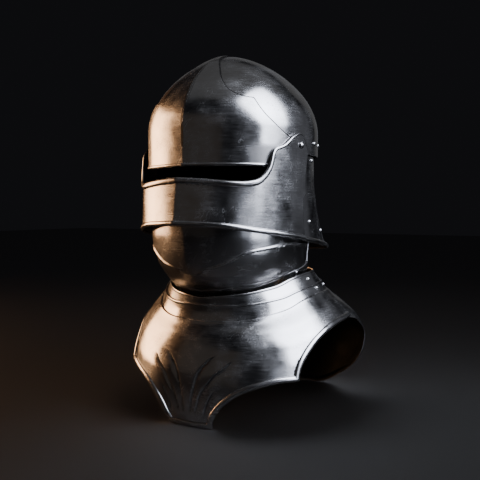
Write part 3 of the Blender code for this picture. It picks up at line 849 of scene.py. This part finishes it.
front = plate("front_fluted_plate", gorget_at,
              between(gorget_at, "drop", FRONT_OUTLINE, FRONT_NECK, BORDER_ROLL, PLAIN, flutes),
              half_columns(170), plate_rows(10, 106, 5), painted_shade=flute_painted_shade)
finished(walled(front, GORGET_WALL), "armour", "front_plate")

# %% back plate
BACK_OUTLINE = [table("share angle drop",
                      (0, 180, 167.6), (0.16, 166, 167.4), (0.30, 152, 158), (0.44, 138, 143),
                      (0.58, 121, 124), (0.70, 114.5, 100), (0.80, 115.5, 70), (0.90, 112, 46), (1, 97, 34))]
BACK_NECK = [table("share angle drop", (0, 180, 0), (0.16, 167, 0), (0.30, 155, 0), (0.44, 143, 0),
                   (0.58, 132, 0), (0.70, 123, 0), (0.80, 115, 0), (0.90, 107, 0), (1, 99, 0))]
BACK_ROLL = table("share width height filed",
                  (0, 7, 2.2, 0), (0.74, 7, 2.2, 0), (0.84, 4, 0.6, 0), (0.9, 2, 0, 0), (1, 1, 0, 0))
back = plate("back_round_plate", gorget_at,
             between(gorget_at, "drop", BACK_OUTLINE, BACK_NECK, BACK_ROLL, PLAIN,
                     lambda a, b, s, m: -2 * LAYER + 0 * a, turn=-1),
             half_columns(120), plate_rows(10, 90, 2), turn=-1)
finished(walled(back, GORGET_WALL), "armour", "back_plate")

# %% [markdown]
# ## Rivets and pivots
#
# A rivet head is a low dome. One profile, spun round, makes them all: four on each side of the skull, four
# on each side of the tail, and one on each side of the bevor's throat, the collar and the two neck lames.
# Each is set on its plate and turned to face outwards. The pivots are longer: a domed head outside the
# visor's arm, a pin through the plates, and a flat washer inside the bevor's arm.

# %% turned pieces
RIVET_PROFILE = [(0, 2.0), (0.9, 1.9), (1.7, 1.6), (2.4, 1.1), (2.85, 0.45), (3.0, -0.3)]


def turned(bm, profile, place, steps=24):
    """Spins a profile of (radius, height) pairs round the upright axis of a place."""
    spots = [bm.verts.new(place @ Vector((r * MM, 0, z * MM))) for r, z in profile]
    edges = [bm.edges.new(pair) for pair in zip(spots, spots[1:])]
    bmesh.ops.spin(bm, geom=spots + edges, axis=place.col[2].xyz, cent=place.translation, angle=math.tau,
                   steps=steps, use_merge=True)


def closed(bm):
    """Joins the spun points that fell together at each tip, and caps what is still open."""
    bmesh.ops.remove_doubles(bm, verts=bm.verts, dist=0.01 * MM)
    bmesh.ops.holes_fill(bm, edges=[e for e in bm.edges if e.is_boundary], sides=0)
    bmesh.ops.recalc_face_normals(bm, faces=bm.faces)
    return bm


def heads(name, carrier, spots, lift=0.0, step=1.0):
    bm = bmesh.new()
    for angle, second in spots:
        for side in (-1, 1):
            here, way = outward(carrier, np.array([float(angle)]), np.array([float(second)]), step)
            mirror = np.array([side, 1, 1])
            seat = to_scene((here[0] + lift * way[0]) * mirror)
            turn = Vector(way[0] * mirror).to_track_quat("Z", "Y").to_matrix().to_4x4()
            turned(bm, RIVET_PROFILE, Matrix.Translation(seat) @ turn)
    return finished(finish_mesh(closed(bm), name), "armour")


heads("skull_rivets", skull_at, [(103, 1.09), (119, 1.09), (137, 1.09), (155, 1.09)], step=1 / DOME_ARC)
heads("tail_rivets", tail_at, [(106, 336), (96, 256), (119, 243), (143, 235)])
heads("throat_rivets", bevor_at, [(97, 190)], LAYER)
heads("collar_rivets", gorget_at, [(86, -20)], -2 * LAYER)
heads("neck_rivets", gorget_at, [(90, -6)], -LAYER)
heads("back_neck_rivets", gorget_at, [(116, -6)], -3 * LAYER)

# %% pivots
PIVOT_PROFILE = [(0, 118.4), (1.5, 118.1), (2.8, 117.4), (3.8, 116.4), (4.3, 115.5), (4.3, 115.2),
                 (3.0, 115.2), (3.0, 99.6), (4.4, 99.6), (4.4, 98.4), (0, 98.4)]
for side, node in ((1, "pivot_left"), (-1, "pivot_right")):
    bm = bmesh.new()
    towards = Matrix.Rotation(side * math.pi / 2, 4, "Y")
    turned(bm, PIVOT_PROFILE, Matrix.Translation(PIVOT * MM) @ towards, 32)
    pin = finished(finish_mesh(closed(bm), "pin_" + node.split("_")[1]), "armour", node)
    pin.data.set_sharp_from_angle(angle=math.radians(40))

# %% [markdown]
# ## The studio
#
# A pale floor, a dim room and soft lights. Mirror-bright plates need something to mirror: a warm lamp far
# round on one side and a large cool soft box on the other, with darkness between them, so that the ridge
# parts a bronze side from a cold one. The warm lamp stands two metres off, because a far lamp is lost from
# plates that lean down a little and stays in those that stand upright. The walls and strips are dim: they
# keep the dark plates from going black. The steel mirrors all of these and they leave the floor dark, and one
# faint lamp of its own lights the floor.

# %% floor
FLOOR_HALF = 6  # metres from the middle to each side


def floor_finish():
    """Matt pale card; it stays dim because so little light reaches it."""
    m, _, shader = new_material("pale studio floor")
    shader.inputs["Base Color"].default_value = linear("#CFCDC9")
    shader.inputs["Roughness"].default_value = 0.75
    shader.inputs["Specular IOR Level"].default_value = 0.05
    return m


bm = bmesh.new()
bmesh.ops.create_grid(bm, x_segments=1, y_segments=1, size=FLOOR_HALF)
floor = finish_mesh(bm, "studio_floor")
floor.data.materials.append(floor_finish())


# %% lights
AIM = (0, 0, 0.27)  # metres: the middle of the object


def soft_box(name, azimuth, elevation, distance, width, height, colour, glow, spread, aim=AIM, roll=0,
             floor_only=False):
    """A rectangular light turned to aim, as metres, degrees and glow, the brightness of its face.

    Azimuth 0 is before the object's face and 90 at its left. Only the steel mirrors it, unless floor_only.
    """
    a, e = math.radians(azimuth), math.radians(elevation)
    back = Vector((math.sin(a) * math.cos(e), -math.cos(a) * math.cos(e), math.sin(e)))
    light = bpy.data.lights.new(name, "AREA")
    light.shape, light.size, light.size_y = "RECTANGLE", width, height
    light.color, light.energy = linear(colour)[:3], glow * math.pi * width * height
    light.spread = math.radians(spread)
    lamp = bpy.data.objects.new(name, light)
    lamp.location = Vector(aim) + back * distance
    tilt = Matrix.Rotation(math.radians(roll), 3, "Z")
    lamp.rotation_euler = (back.to_track_quat("Z", "Y").to_matrix() @ tilt).to_euler()
    lamp.visible_camera = False
    lamp.visible_diffuse, lamp.visible_glossy = floor_only, not floor_only
    bpy.context.scene.collection.objects.link(lamp)


soft_box("warm lamp", -88, 0, 2.0, 1.24, 1.12, "#FFC48E", 3.0, 100, aim=(0, 0, 0.65))
soft_box("warm wall", -90, 12, 1.6, 2.3, 1.2, "#B8743F", 0.09, 160)
soft_box("dim front wall", -15, 12, 2.2, 2.4, 1.4, "#C8B8A8", 0.045, 160)
soft_box("cool soft box", 80, 37, 1.37, 1.14, 1.50, "#E9F0FF", 3.8, 100, roll=14)
soft_box("low strip", 60, -3, 1.0, 0.46, 0.28, "#E6EEFF", 0.30, 120)
soft_box("dim side wall", 135, 15, 1.4, 1.2, 0.9, "#D8DCE8", 0.08, 160)
soft_box("ceiling", 0, 89, 1.7, 2.5, 2.5, "#F0F0F0", 0.06, 150)
soft_box("floor lamp", 0, 89, 1.7, 2.5, 2.5, "#F0F0F0", 0.004, 150, floor_only=True)
soft_box("low corner strip", 72, -8, 1.0, 0.40, 0.14, "#E6EEFF", 1.7, 120)
soft_box("back wall", 200, 25, 1.6, 1.6, 1.2, "#F0F0F0", 0.07, 150)

DIM_ROOM = (0.006, 0.006, 0.007, 1)  # linear, almost black
world = bpy.data.worlds.new("dim room")
world.use_nodes = True
world.node_tree.nodes["Background"].inputs["Color"].default_value = DIM_ROOM
bpy.context.scene.world = world

# %% camera
VIEW_TURN, VIEW_TIP = 31.0, 2.7  # degrees round from the face, degrees down
VIEW_DISTANCE, VIEW_HEIGHT, VIEW_SHIFT = 952.0, 275.0, 12.24
a = math.radians(VIEW_TURN)
sideways, back = Vector((math.cos(a), math.sin(a), 0)), Vector((math.sin(a), -math.cos(a), 0))
camera = bpy.data.objects.new("camera", bpy.data.cameras.new("camera"))
camera.data.lens, camera.data.sensor_width = 52.5, 36.0
eye = sideways * VIEW_SHIFT + back * VIEW_DISTANCE + Vector((0, AXIS_Y, VIEW_HEIGHT))
camera.location = eye * MM
camera.rotation_euler = (math.radians(90 - VIEW_TIP), 0, a)
bpy.context.scene.collection.objects.link(camera)
bpy.context.scene.camera = camera
